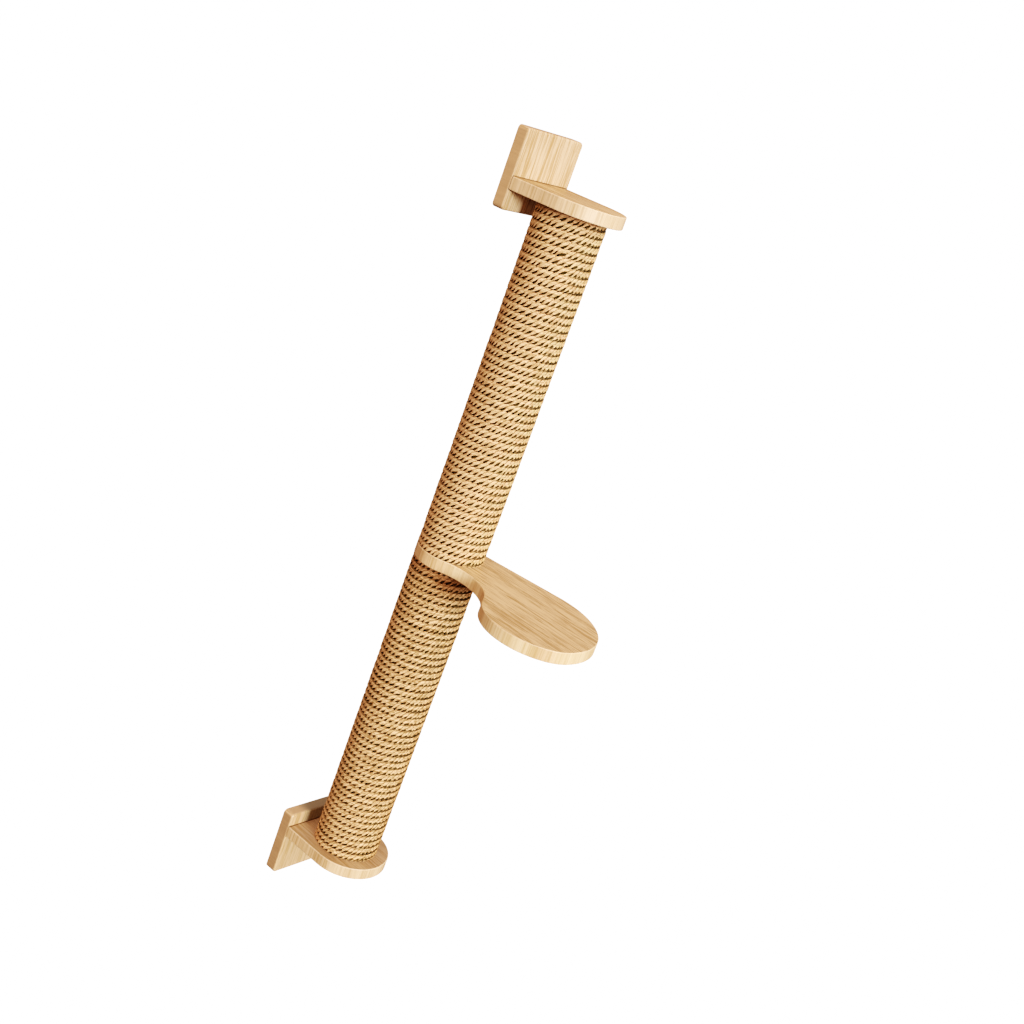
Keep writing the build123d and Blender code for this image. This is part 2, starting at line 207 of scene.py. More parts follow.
def feed(tree, socket, value):
    """Links a socket to a node's output, or sets it to a number, vector or colour."""
    if isinstance(value, bpy.types.NodeSocket):
        tree.links.new(value, socket)
    else:
        socket.default_value = value


def calc(tree, operation, *values, clamp=False):
    node = tree.nodes.new("ShaderNodeMath")
    node.operation = operation
    node.use_clamp = clamp
    for socket, value in zip(node.inputs, values):
        feed(tree, socket, value)
    return node.outputs[0]


def plus(tree, a, b, clamp=False):
    return calc(tree, "ADD", a, b, clamp=clamp)


def minus(tree, a, b):
    return calc(tree, "SUBTRACT", a, b)


def times(tree, a, b):
    return calc(tree, "MULTIPLY", a, b)


def larger(tree, a, b):
    return calc(tree, "MAXIMUM", a, b)


def size_of(tree, value):
    return calc(tree, "ABSOLUTE", value)


def scaled(tree, vector, by):
    node = tree.nodes.new("ShaderNodeVectorMath")
    node.operation = "MULTIPLY"
    feed(tree, node.inputs[0], vector)
    feed(tree, node.inputs[1], by)
    return node.outputs[0]


def noise(tree, vector, scale, detail=2.0, roughness=0.5):
    """Noise with scale spots a metre, or another scale for each axis of the vector."""
    if isinstance(scale, tuple):
        vector = scaled(tree, vector, scale)
        scale = 1.0
    node = tree.nodes.new("ShaderNodeTexNoise")
    feed(tree, node.inputs["Vector"], vector)
    feed(tree, node.inputs["Scale"], scale)
    node.inputs["Detail"].default_value = detail
    node.inputs["Roughness"].default_value = roughness
    return node.outputs["Fac"]


def fade(tree, value, low, high, start=0.0, end=1.0):
    """Goes smoothly from start to end while value goes from low to high."""
    node = tree.nodes.new("ShaderNodeMapRange")
    node.interpolation_type = "SMOOTHSTEP"
    feed(tree, node.inputs["Value"], value)
    feed(tree, node.inputs["From Min"], low)
    feed(tree, node.inputs["From Max"], high)
    feed(tree, node.inputs["To Min"], start)
    feed(tree, node.inputs["To Max"], end)
    return node.outputs["Result"]


def blend_colour(tree, share, a, b, kind="MIX"):
    node = tree.nodes.new("ShaderNodeMix")
    node.data_type = "RGBA"
    node.blend_type = kind
    feed(tree, node.inputs[0], share)
    feed(tree, node.inputs[6], a if isinstance(a, bpy.types.NodeSocket) else (*a, 1))
    feed(tree, node.inputs[7], b if isinstance(b, bpy.types.NodeSocket) else (*b, 1))
    return node.outputs[2]


def shaded(tree, colour, shade):
    return blend_colour(tree, 1.0, colour, shade, "MULTIPLY")


def split(tree, vector):
    node = tree.nodes.new("ShaderNodeSeparateXYZ")
    feed(tree, node.inputs[0], vector)
    return tuple(node.outputs)


def join(tree, x, y, z):
    node = tree.nodes.new("ShaderNodeCombineXYZ")
    for socket, value in zip(node.inputs, (x, y, z)):
        feed(tree, socket, value)
    return node.outputs[0]


def bump(tree, height, strength, distance):
    node = tree.nodes.new("ShaderNodeBump")
    node.inputs["Strength"].default_value = strength
    node.inputs["Distance"].default_value = distance
    feed(tree, node.inputs["Height"], height)
    return node.outputs["Normal"]


def new_group(name, inputs, outputs):
    """A node group whose inputs are (label, kind, default) and whose outputs are labels of numbers."""
    group = bpy.data.node_groups.new(name, "ShaderNodeTree")
    for label, kind, default in inputs:
        socket = group.interface.new_socket(label, in_out="INPUT", socket_type=kind)
        if default is not None:
            socket.default_value = default
    for label in outputs:
        group.interface.new_socket(label, in_out="OUTPUT", socket_type=FLOAT)
    return group, group.nodes.new("NodeGroupInput").outputs, group.nodes.new("NodeGroupOutput").inputs


def place(tree, group, **values):
    """Puts a group in a material, with its own values for the group's inputs."""
    node = tree.nodes.new("ShaderNodeGroup")
    node.node_tree = group
    for label, value in values.items():
        feed(tree, node.inputs[label.replace("_", " ")], value)
    return node.outputs


def new_material(name, roughness=0.5, metallic=0.0):
    material = bpy.data.materials.new(name)
    material.use_nodes = True
    tree = material.node_tree
    shader = tree.nodes["Principled BSDF"]
    shader.inputs["Roughness"].default_value = roughness
    shader.inputs["Metallic"].default_value = metallic
    return material, tree, shader.inputs


def object_place(tree):
    return tree.nodes.new("ShaderNodeTexCoord").outputs


# ---------------------------------------------------------------- wood grain
# Marks per metre along the grain, across it and through the board.
SWAY_MARKS = (3.0, 8.0, 8.0)            # slow waves of the staves' borders
BROAD_MARKS = (3.0, 45.0, 12.0)
STREAK_MARKS = (12.0, 260.0, 40.0)
FINE_MARKS = (24.0, 620.0, 60.0)
LINE_MARKS = (9.0, 480.0, 40.0)         # thin dark lines
PORE_MARKS = (130.0, 2300.0, 2300.0)
CUT_MARKS = (420.0, 420.0, 9.0)         # on a sawn rim, upright
BLOCK_MARKS = (60.0, 60.0, 2.0)         # broad patches there
SWAY = 6 * MM
SEAM = (0.3 * MM, 1.3 * MM)             # how far from a stave's border its glue line begins to fade, and ends
STAVE_SHIFT = 3.0                       # how far apart in the log two staves may come from, in metres
STAVE_SEED = 0.37
LINE_RANGE = (0.57, 0.68)               # the noise at which lines begin, and are full
PORE_RANGE = (0.60, 0.72)               # and pores
PORE_DEPTH = 0.6                        # against the relief of the grain
CUT_SHARE = 0.6                         # of a sawn rim's tone
BLOCK_SHARE = 0.4


def make_wood_grain():
    """Glued staves of blond wood: x of Place runs along the grain, y across it and z through the board."""
    tree, given, out = new_group(
        "wood_grain",
        [("Place", VECTOR, None), ("Stave Width", FLOAT, 0.03), ("Stave Contrast", FLOAT, 0.3),
         ("Streak Contrast", FLOAT, 0.5), ("Fine Contrast", FLOAT, 0.3), ("Line Amount", FLOAT, 0.5),
         ("Seam Amount", FLOAT, 0.4), ("Rim Contrast", FLOAT, 0.5)],
        ["Tone", "Rim Tone", "Lines", "Pores", "Height"])

    def part(value, contrast, gain=4.0):
        return times(tree, times(tree, minus(tree, value, 0.5), gain), contrast)

    along, across, through = split(tree, given["Place"])
    sway = noise(tree, given["Place"], SWAY_MARKS, 1.0)
    across = plus(tree, across, times(tree, minus(tree, sway, 0.5), SWAY))
    count = calc(tree, "DIVIDE", across, given["Stave Width"])
    middle = size_of(tree, minus(tree, calc(tree, "FRACT", count), 0.5))
    border = times(tree, minus(tree, 0.5, middle), given["Stave Width"])
    seam = times(tree, fade(tree, border, *SEAM, 1.0, 0.0), given["Seam Amount"])

    luck = tree.nodes.new("ShaderNodeTexWhiteNoise")
    luck.noise_dimensions = "1D"
    feed(tree, luck.inputs["W"], plus(tree, calc(tree, "FLOOR", count), STAVE_SEED))
    chance = luck.outputs["Value"]
    figure = join(tree, plus(tree, along, times(tree, chance, STAVE_SHIFT)), across, through)
    broad = noise(tree, figure, BROAD_MARKS)
    streak = noise(tree, figure, STREAK_MARKS, 3.0, 0.6)
    fine = noise(tree, figure, FINE_MARKS, 3.0, 0.65)
    line = noise(tree, figure, LINE_MARKS, 1.0)
    pore = noise(tree, figure, PORE_MARKS, 1.0)
    cut = noise(tree, figure, CUT_MARKS, 2.0, 0.6)
    block = noise(tree, figure, BLOCK_MARKS, 1.0)

    stave = plus(tree, 0.5, part(chance, given["Stave Contrast"], 1.0))
    tone = plus(tree, stave, part(streak, given["Streak Contrast"]))
    tone = plus(tree, tone, part(broad, given["Streak Contrast"]))
    tone = plus(tree, tone, part(fine, given["Fine Contrast"]), clamp=True)
    sawn = plus(tree, times(tree, cut, CUT_SHARE), times(tree, block, BLOCK_SHARE))
    rim = plus(tree, stave, part(sawn, given["Rim Contrast"]), clamp=True)
    pores = fade(tree, pore, *PORE_RANGE)
    drawn = times(tree, fade(tree, line, *LINE_RANGE), given["Line Amount"])
    feed(tree, out["Tone"], tone)
    feed(tree, out["Rim Tone"], rim)
    feed(tree, out["Lines"], larger(tree, drawn, seam))
    feed(tree, out["Pores"], pores)
    feed(tree, out["Height"], minus(tree, fine, times(tree, pores, PORE_DEPTH)))
    return tree


wood_grain = make_wood_grain()

# ---------------------------------------------------------------- wood
PALE = (0.86, 0.62, 0.385)
HONEY = (0.52, 0.32, 0.155)
TAN = (0.44, 0.26, 0.12)
EDGE = (0.525, 0.335, 0.186)
# The lower plate's sides, darker than EDGE: painted shade on the lower bracket.
LOWER_SHADED_EDGE = (0.42, 0.265, 0.145)
ARRIS_HIGHLIGHT = (0.92, 0.76, 0.54)         # painted highlight on the rounded edge of a shelf or the step, towards the left and room
ARRIS_SHADE = (0.26, 0.15, 0.06)         # and painted shade on it towards the right and wall
ARRIS_PAINT_SHARE = 0.40                             # how strongly that painted highlight and shade show
# Painted shade in the joint where a shelf meets its plate.
JOINT_SHADE = (0.13, 0.065, 0.02)
JOINT_SHADE_REACH = (0.4 * MM, 1.7 * MM)        # how far from a joint its painted shade line begins to fade, and ends
JOINT_SHADE_DARKNESS = 0.95
RIM_JOINT_SHADE = 0.15                         # how much of that is left on a shelf's rim
PORE_DARKNESS = 0.30
SIDE_TONES = (0.86, 1.16)               # from the dark to the pale of a plate's narrow sides
POST_SHADE = (22 * MM, 44 * MM)         # how far to the sides the plate behind the post is shaded
STEP_HONEY = ((0.49, 0.285, 0.12), (0.85, 0.57, 0.325))
# Painted light on the lobe's rim, paler than its honey.
STEP_LIT_CREAM = ((0.72, 0.475, 0.23), (1.0, 0.76, 0.46))
LOBE_START = (-135 * MM, -105 * MM)     # in y, where the step's rim takes on the colours of its lobe
WOOD_ROUGHNESS = (0.56, 0.42)           # of its dark and its pale parts
WOOD_RELIEF = (0.12, 0.15 * MM)         # strength and height

# From and to which shares of its normal a face counts as facing a way.
SQUARE = (0.80, 0.97)                   # straight along an axis, as all flat faces do
LOOKS_UP = (0.3, 0.7)                   # or down
ROUNDED = (0.15, 0.4)                   # up or down, where a rim gives way to its rounded edge
FAR_SIDE = (-0.2, 0.5)                  # to the right and the wall
TO_WALL = (0.3, 0.7)
TO_ROOM = (-0.9, -0.5)
LEFT = (-0.95, -0.74)
NOT_LEFT = (-0.72, -0.40)


def step_rim(tree, tone, facing, axes):
    """The colour of the step's rim: honey on its collar and where the lobe faces half left, else a paler
    cream that paints light on the lobe.
    """
    honey = blend_colour(tree, tone, *STEP_HONEY)
    cream = blend_colour(tree, tone, *STEP_LIT_CREAM)
    left = fade(tree, facing[0], *LEFT, 1.0, 0.0)
    elsewhere = fade(tree, facing[0], *NOT_LEFT, 0.0, 0.9)
    lobe = fade(tree, axes[1], *LOBE_START, 1.0, 0.0)
    return blend_colour(tree, times(tree, lobe, larger(tree, left, elsewhere)), honey, cream)


def shelf_faces(tree, colour, rim, facing, axes, top, tip):
    """Colours a shelf or the step: top shades its flat faces, rim is its rim's colour, and its rounded edges
    get a painted highlight towards the left and room and painted shade towards the right and wall. tip is
    (y, shade), for a shelf whose shade changes between its plate and that y."""
    upright = size_of(tree, facing[2])
    flat = fade(tree, upright, *SQUARE)
    if tip:
        top = blend_colour(tree, fade(tree, axes[1], tip[0], PLATE_FRONT), tip[1], top)
    colour = blend_colour(tree, flat, rim, shaded(tree, colour, top))
    rounded = times(tree, fade(tree, upright, *ROUNDED), fade(tree, upright, *SQUARE, 1.0, 0.0))
    # Painted highlight on rounded edges facing the left and room, painted shade on those facing the right and
    # wall.
    away = fade(tree, plus(tree, facing[0], facing[1]), *FAR_SIDE)
    arris = blend_colour(tree, away, ARRIS_HIGHLIGHT, ARRIS_SHADE)
    return blend_colour(tree, times(tree, rounded, ARRIS_PAINT_SHARE), colour, arris)


def plate_sides(tree, colour, tone, facing, edge, crown):
    """Colours a wall plate's narrow sides, and the one on top with crown."""
    sideways = larger(tree, size_of(tree, facing[0]), size_of(tree, facing[2]))
    dark, pale = [tuple(shade * c for c in edge) for shade in SIDE_TONES]
    sawn = blend_colour(tree, tone, dark, pale)
    colour = blend_colour(tree, fade(tree, sideways, *SQUARE), colour, sawn)
    if crown:
        colour = blend_colour(tree, fade(tree, facing[2], *SQUARE), colour, crown)
    return colour


def behind_post(tree, colour, facing, axes, height, shade):
    """Shades a wall plate's front behind the post, above that height."""
    close = fade(tree, size_of(tree, axes[0]), *POST_SHADE, 1.0, 0.0)
    close = times(tree, close, fade(tree, axes[2], height - 1 * MM, height + 1 * MM))
    close = times(tree, close, fade(tree, facing[1], *TO_WALL, 1.0, 0.0))
    return blend_colour(tree, close, colour, shaded(tree, colour, shade))


def joint_shade_line(tree, colour, facing, axes, axis, at):
    """Paints a thin line of shade where a shelf meets its plate: on the plate's front with axis 2, and with
    axis 1 on the shelf, where it is faint on the rim."""
    near = size_of(tree, minus(tree, axes[axis], at))
    line = fade(tree, near, *JOINT_SHADE_REACH, JOINT_SHADE_DARKNESS, 0.0)
    if axis == 2:
        line = times(tree, line, fade(tree, facing[1], *TO_ROOM, 1.0, 0.0))
    else:
        line = times(tree, line, fade(tree, size_of(tree, facing[2]), *LOOKS_UP, RIM_JOINT_SHADE, 1.0))
    return blend_colour(tree, line, colour, JOINT_SHADE)


def wood_material(name, grain, pale, dark, top=None, tip=None, rim=None, edge=None, crown=None, behind=None,
                  joints=(), **values):
    """Blond wood whose grain runs along axis number grain of the object, between a pale and a dark colour.
    A shelf or the step has top, and may have tip and a function rim that colours its rim; a wall plate has
    edge, and may have crown and behind, which is (height, shade). joints are (axis, place) of lines of
    painted shade in the joints, and values set the grain."""
    material, tree, shader = new_material(name)
    source = object_place(tree)
    axes = split(tree, source["Object"])
    facing = split(tree, source["Normal"])
    order = {1: (1, 0, 2), 2: (2, 0, 1)}[grain]
    made = place(tree, wood_grain, Place=join(tree, *(axes[i] for i in order)), **values)
    colour = blend_colour(tree, made["Tone"], dark, pale)
    colour = blend_colour(tree, made["Lines"], colour, TAN)
    sawn = made["Rim Tone"]
    if top:
        if rim:
            rim_colour = rim(tree, sawn, facing, axes)
        else:
            rim_colour = blend_colour(tree, sawn, dark, pale)
        colour = shelf_faces(tree, colour, rim_colour, facing, axes, top, tip)
    if edge:
        colour = plate_sides(tree, colour, sawn, facing, edge, crown)
    if behind:
        colour = behind_post(tree, colour, facing, axes, *behind)
    # Painted shade lines in the joints.
    for axis, at in joints:
        colour = joint_shade_line(tree, colour, facing, axes, axis, at)
    colour = blend_colour(tree, times(tree, made["Pores"], PORE_DARKNESS), colour, TAN)
    feed(tree, shader["Base Color"], colour)
    feed(tree, shader["Roughness"], fade(tree, made["Tone"], 0.0, 1.0, *WOOD_ROUGHNESS))
    feed(tree, shader["Normal"], bump(tree, made["Height"], *WOOD_RELIEF))
    return material


# ---------------------------------------------------------------- sisal
# Marks per metre along the rope, and per metre round it.
FIBRE_MARKS = (130.0, 2600.0, 0.0)
YARN_MARKS = (45.0, 620.0, 0.0)
PATCH_MARKS = (80.0, 160.0, 0.0)
GRIT_MARKS = (260.0, 480.0, 0.0)
GREEN_MARKS = (40.0, 90.0, 0.0)
GAP_DARKNESS_MARKS = (70.0, 0.0, 0.0)
GAP_LENGTH_MARKS = (95.0, 0.0, 0.0)
LINE_DARKNESS_MARKS = (14.0, 0.0, 0.0)
HAIR_MARKS = (900.0, 60.0, 0.0)         # across a strand's fibres, and along the rope

# How much each of the marks counts in the rope's light and dark, and from where to where that goes.
TONE_SHARES = {"hair": 0.32, "fibre": 0.12, "yarn": 0.26, "patch": 0.12, "grit": 0.18}
TONE_RANGE = (0.44, 0.555)

# Where the sides of the post begin and end: in x, and in y from its axis, which grows towards the wall.
RIGHT_HALF = (-40 * MM, 2 * MM)
RIGHT_QUARTER = (-8 * MM, 12 * MM)
FAR_RIGHT = (30 * MM, 44 * MM)
CORNER_X = (-24 * MM, 4 * MM)           # the corner between the right and the room
CORNER_Y = (-38 * MM, -22 * MM)
WALL_SIDE = (-22 * MM, 16 * MM)
LIT_WALL_SIDE = (-22 * MM, 34 * MM)

# The rope's colours, and how much of them shows.
NOISE_RANGE = (0.3, 0.7)                # nearly all noise lies between these
NOISE_MIDDLE = (0.40, 0.60)             # and most between these
GREENER = (0.80, 0.62, 0.33)
GREEN_ON_LEFT = 0.4                     # of what the right has: the greener patches are the rope's own, and fewer on the left paint its warmer shade
# Painted light on the rope's side next to the wall.
WALL_SIDE_LIGHT = (1.0, 0.66, 0.37)
WALL_SIDE_LIGHT_SHARE = 0.42                      # of that painted light, next to the wall
SUNK_SHADE = (0.07, 0.052, 0.008)             # painted shade deep between turns
SUNK_SHADE_SHARE = 0.95
SUNK_SHADE_REACH = (45.8 * MM, 48.8 * MM)     # how far from the post's axis that is
UNDER_BOARD = (0.60, 0.52, 0.48)        # the shade on the turns next to the board above
SISAL_ROUGHNESS = (0.90, 0.74)          # of its dark and its bright fibres
SISAL_RELIEF = (0.7, 0.35 * MM)         # strength and height

# Painted shade in the gaps between strands. Up and down are on the rope's section, from -1 to 1. Across is
# from
# 0 on a strand's crest to 1 in the groove, and a gap reaches from its border to the groove.
GAP_SHADE = (0.045, 0.028, 0.002)
GAP_SHADE_AT_WALL = (0.30, 0.16, 0.030)
GAP_SHADE_AT_CORNER = (0.055, 0.040, 0.014)
GAP_LUCK_RANGE = (0.30, 0.60)
GAP_LUCK = (0.86, 1.0)                  # how dark they are at least and at most
GAP_WIDEST = -0.75                      # the height at which they are as wide as they get
GAP_NARROWEST = 0.1                     # and how far above their start they are narrowest
GAP_TOP_BORDER = 0.82
GAP_SOFTNESS = 0.13
WIDER_ON_RIGHT = 0.18
WIDER_WITH_LINES = 0.05
WIDTH_LUCK = 0.5
LENGTH_LUCK = 1.4
SHORTER_ON_RIGHT = 0.25
SHORTER_AT_CORNER = 0.50
GAP_END = (-0.20, 0.1)                  # from and to which height above their start they fade out
UPPER_GAP_FOOT = (-0.20, 0.15)
UPPER_GAP_HEAD = (0.50, 0.75)
UPPER_GAP_BORDER = (0.64, 0.92)
UPPER_GAP_SHARE = (0.55, 0.65)          # how dark they are on the post's left and right

# Painted shade in the lines between turns.
LINE_SHADE = (0.13, 0.088, 0.026)
LINE_SHADE_AT_CORNER = (0.085, 0.058, 0.020)
LINE_START = (0.62, 0.84)               # how far up or down the rope's section they begin, and are full
LINE_WIDER = 0.10                       # how much sooner that is on the right quarter, at most
LINE_LUCK = 0.65                        # the faintest, in shares of the darkest
LINE_AT_WALL = 0.7                      # in shares of those on the right
LINE_ON_LEFT = 0.35                     # how dark they are, with a winding's lines at their darkest
LINE_ON_RIGHT = (0.65, 0.4)             # how dark with the faintest, and what the darkest add
LINE_CORNER_SHARE = 0.95
LINE_FAR_RIGHT = 0.45                   # how much is left of them there


def sisal_tone(tree, run, along, around):
    """Light and dark of the rope's face, from hairs that follow its strands, fibres, yarns and dirt, and the
    fibres on their own."""
    crossing = minus(tree, times(tree, along, math.pi * ROPE_DIAMETER / ROPE_LAY), around)
    marks = {"hair": noise(tree, join(tree, crossing, along, 0.0), HAIR_MARKS, 2.0, 0.6),
             "fibre": noise(tree, run, FIBRE_MARKS, 2.0, 0.6),
             "yarn": noise(tree, run, YARN_MARKS),
             "patch": noise(tree, run, PATCH_MARKS, 1.0),
             "grit": noise(tree, run, GRIT_MARKS, 1.0)}
    tone = 0.0
    for label, share in TONE_SHARES.items():
        tone = plus(tree, tone, times(tree, marks[label], share))
    return tone, marks["fibre"]


def strand_gaps(tree, run, groove, rise, right, corner, start, wide, lines):
    """How dark the painted shade in the gaps between strands is: most on the lower half of the rope's face,
    where each narrows upwards, and less on the upper half. It varies along the rope, and with right and
    corner of the post."""
    length = minus(tree, noise(tree, run, GAP_LENGTH_MARKS, 1.0), 0.5)
    border = fade(tree, rise, GAP_WIDEST, GAP_NARROWEST - start, 1.0 - wide, GAP_TOP_BORDER)
    border = minus(tree, border, times(tree, right, WIDER_ON_RIGHT + WIDER_WITH_LINES * lines))
    border = plus(tree, border, times(tree, length, WIDTH_LUCK))
    inside = fade(tree, minus(tree, groove, border), 0.0, GAP_SOFTNESS)
    height = plus(tree, rise, times(tree, right, SHORTER_ON_RIGHT))
    height = plus(tree, height, times(tree, length, LENGTH_LUCK))
    height = plus(tree, height, times(tree, corner, SHORTER_AT_CORNER))
    lower = times(tree, inside, fade(tree, height, GAP_END[0] - start, GAP_END[1] - start, 1.0, 0.0))
    upper = times(tree, fade(tree, rise, *UPPER_GAP_FOOT), fade(tree, rise, *UPPER_GAP_HEAD, 1.0, 0.0))
    upper = times(tree, upper, fade(tree, groove, *UPPER_GAP_BORDER))
    upper = times(tree, upper, fade(tree, right, 0.0, 1.0, *UPPER_GAP_SHARE))
    luck = fade(tree, noise(tree, run, GAP_DARKNESS_MARKS, 1.0), *GAP_LUCK_RANGE, *GAP_LUCK)
    return times(tree, larger(tree, lower, upper), luck)


def turn_lines(tree, run, rise, x, right, quarter, corner, inward, lines):
    """How dark the painted shade in the lines between turns is, where the rope's section turns in towards the
    next one.
    """
    side = larger(tree, right, times(tree, inward, LINE_AT_WALL))
    side = fade(tree, side, 0.0, 1.0, LINE_ON_LEFT * lines, LINE_ON_RIGHT[0] + LINE_ON_RIGHT[1] * lines)
    luck = fade(tree, noise(tree, run, LINE_DARKNESS_MARKS), *NOISE_MIDDLE, LINE_LUCK, 1.0)
    drawn = larger(tree, times(tree, side, luck), times(tree, corner, LINE_CORNER_SHARE))
    drawn = times(tree, drawn, fade(tree, x, *FAR_RIGHT, 1.0, LINE_FAR_RIGHT))
    steep = plus(tree, size_of(tree, rise), times(tree, quarter, LINE_WIDER * lines))
    return times(tree, fade(tree, steep, *LINE_START), drawn)


def make_sisal(name, start, wide, lines, under_board, dark, bright, green, warm):
    """Twisted sisal between a dark and a bright colour. Its strands get painted shade where they are packed
    together, from start of the way down to the next turn and wide of their width, and lines is how dark the
    painted shade in the lines between turns is. under_board is (height of the winding's top, how far down it
    is darker), green is how much of the rope is greener, and warm shades its right side."""
    material, tree, shader = new_material(name)
    shader["Specular IOR Level"].default_value = 0.12
    lay = tree.nodes.new("ShaderNodeAttribute")
    lay.attribute_name = "lay"
    run = lay.outputs["Vector"]
    along, around, groove = split(tree, run)
    x, y, z = split(tree, object_place(tree)["Object"])
    from_axis = minus(tree, y, POST_Y)
    right = fade(tree, x, *RIGHT_HALF)
    quarter = fade(tree, x, *RIGHT_QUARTER)
    corner = times(tree, fade(tree, x, *CORNER_X), fade(tree, from_axis, *CORNER_Y, 1.0, 0.0))
    inward = fade(tree, from_axis, *WALL_SIDE)

    tone, fibre = sisal_tone(tree, run, along, around)
    colour = blend_colour(tree, fade(tree, tone, *TONE_RANGE), dark, bright)
    greener = fade(tree, noise(tree, run, GREEN_MARKS), *NOISE_MIDDLE, 0.0, green)
    # Fewer greener patches on the left paint its warmer shade.
    greener = times(tree, greener, fade(tree, right, 0.0, 1.0, GREEN_ON_LEFT, 1.0))
    colour = blend_colour(tree, greener, colour, GREENER)
    colour = blend_colour(tree, quarter, colour, shaded(tree, colour, warm))
    # Painted light on the rope's side next to the wall, which the lamp leaves in shade.
    colour = blend_colour(tree, fade(tree, from_axis, *LIT_WALL_SIDE, 0.0, WALL_SIDE_LIGHT_SHARE), colour, WALL_SIDE_LIGHT)

    rise = calc(tree, "SINE", calc(tree, "DIVIDE", around, ROPE_DIAMETER / 2))
    # Painted shade in the gaps between strands.
    packed = strand_gaps(tree, run, groove, rise, right, corner, start, wide, lines)
    gap = blend_colour(tree, corner, blend_colour(tree, inward, GAP_SHADE, GAP_SHADE_AT_WALL), GAP_SHADE_AT_CORNER)
    colour = blend_colour(tree, packed, colour, gap)
    # Painted shade in the lines between turns.
    drawn = turn_lines(tree, run, rise, x, right, quarter, corner, inward, lines)
    colour = blend_colour(tree, drawn, colour, blend_colour(tree, corner, LINE_SHADE, LINE_SHADE_AT_CORNER))

    # Painted shade deep between turns, by distance from the post's axis.
    reach = calc(tree, "SQRT", plus(tree, times(tree, x, x), times(tree, from_axis, from_axis)))
    colour = blend_colour(tree, fade(tree, reach, *SUNK_SHADE_REACH, SUNK_SHADE_SHARE, 0.0), colour, SUNK_SHADE)
    top, depth = under_board
    dim = blend_colour(tree, fade(tree, z, top - depth, top), (1, 1, 1), UNDER_BOARD)
    feed(tree, shader["Base Color"], shaded(tree, colour, dim))
    feed(tree, shader["Roughness"], fade(tree, fibre, *NOISE_RANGE, *SISAL_ROUGHNESS))
    feed(tree, shader["Normal"], bump(tree, tone, *SISAL_RELIEF))
    return material


# ---------------------------------------------------------------- inner materials
STRIP_RISE = 90 * MM                    # of the core board's spiral in one turn
STRIP_SEAM = 0.03                       # the width of its seam, in turns
STRIP_SEAM_COLOUR = (0.10, 0.055, 0.025)
PULP = ((0.20, 0.12, 0.06), (0.34, 0.22, 0.12))
PULP_MARKS = 400.0
PULP_RELIEF = (0.4, 0.2 * MM)
SCRATCH_MARKS = (900.0, 6000.0, 900.0)
SCRATCH_RANGE = (0.58, 0.72)
SCRATCH_ROUGHNESS = 0.2
METAL_RELIEF = (0.15, 0.05 * MM)


def make_core_board():
    """The brown board of the post's tubes, wound in a spiral."""
    material, tree, shader = new_material("core_board", 0.85)
    spot = object_place(tree)["Object"]
    x, y, z = split(tree, spot)
    turn = calc(tree, "DIVIDE", calc(tree, "ARCTAN2", minus(tree, y, POST_Y), x), 2 * math.pi)
    wrap = calc(tree, "FRACT", plus(tree, calc(tree, "DIVIDE", z, STRIP_RISE), turn))
    seam = fade(tree, wrap, 0.0, STRIP_SEAM, 0.6, 0.0)
    pulp = noise(tree, spot, PULP_MARKS, 3.0, 0.7)
    colour = blend_colour(tree, fade(tree, pulp, *NOISE_RANGE), *PULP)
    feed(tree, shader["Base Color"], blend_colour(tree, seam, colour, STRIP_SEAM_COLOUR))
    feed(tree, shader["Normal"], bump(tree, minus(tree, pulp, seam), *PULP_RELIEF))
    return material


def make_metal_wear():
    """Fine scratches, cloudy patches and the unevenness of a plated or rolled metal surface."""
    tree, given, out = new_group(
        "metal_wear", [("Place", VECTOR, None), ("Grain Size", FLOAT, 0.002), ("Scratch Amount", FLOAT, 0.5)],
        ["Cloud", "Scratches", "Height"])
    cloud = noise(tree, given["Place"], calc(tree, "DIVIDE", 1.0, given["Grain Size"]), 3.0, 0.6)
    scratch = noise(tree, given["Place"], SCRATCH_MARKS, 2.0, 0.7)
    marks = times(tree, fade(tree, scratch, *SCRATCH_RANGE), given["Scratch Amount"])
    feed(tree, out["Cloud"], cloud)
    feed(tree, out["Scratches"], marks)
    feed(tree, out["Height"], minus(tree, cloud, marks))
    return tree


metal_wear = make_metal_wear()


def metal(name, dark, bright, smoothest, roughest, grain, scratches):
    material, tree, shader = new_material(name, roughest, 1.0)
    spot = object_place(tree)["Object"]
    wear = place(tree, metal_wear, Place=spot, Grain_Size=grain, Scratch_Amount=scratches)
    clear = fade(tree, wear["Cloud"], *NOISE_RANGE)
    worn = fade(tree, wear["Cloud"], *NOISE_RANGE, roughest, smoothest)
    feed(tree, shader["Base Color"], blend_colour(tree, clear, dark, bright))
    feed(tree, shader["Roughness"], plus(tree, worn, times(tree, wear["Scratches"], SCRATCH_ROUGHNESS)))
    feed(tree, shader["Normal"], bump(tree, wear["Height"], *METAL_RELIEF))
    return material


# ---------------------------------------------------------------- materials on the boards and fasteners
def heights(node):
    """The bottom and top of a piece."""
    return [corner.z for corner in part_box(node)]


zinc = metal("zinc_plated_steel", (0.46, 0.51, 0.56), (0.66, 0.72, 0.77), 0.24, 0.40, 1.6 * MM, 0.5)
nail = metal("blued_nail_steel", (0.10, 0.09, 0.085), (0.26, 0.24, 0.22), 0.34, 0.55, 0.9 * MM, 0.3)
core_board = make_core_board()
plate_wood = wood_material(
    "wall_plate_wood", 2, (0.75, 0.55, 0.356), (0.49, 0.305, 0.152),
    edge=EDGE, joints=[(2, z) for z in heights("upper_shelf")],
    Stave_Width=20.5 * MM, Stave_Contrast=0.35, Streak_Contrast=0.5, Fine_Contrast=1.4, Line_Amount=0.85,
    Seam_Amount=0.55)
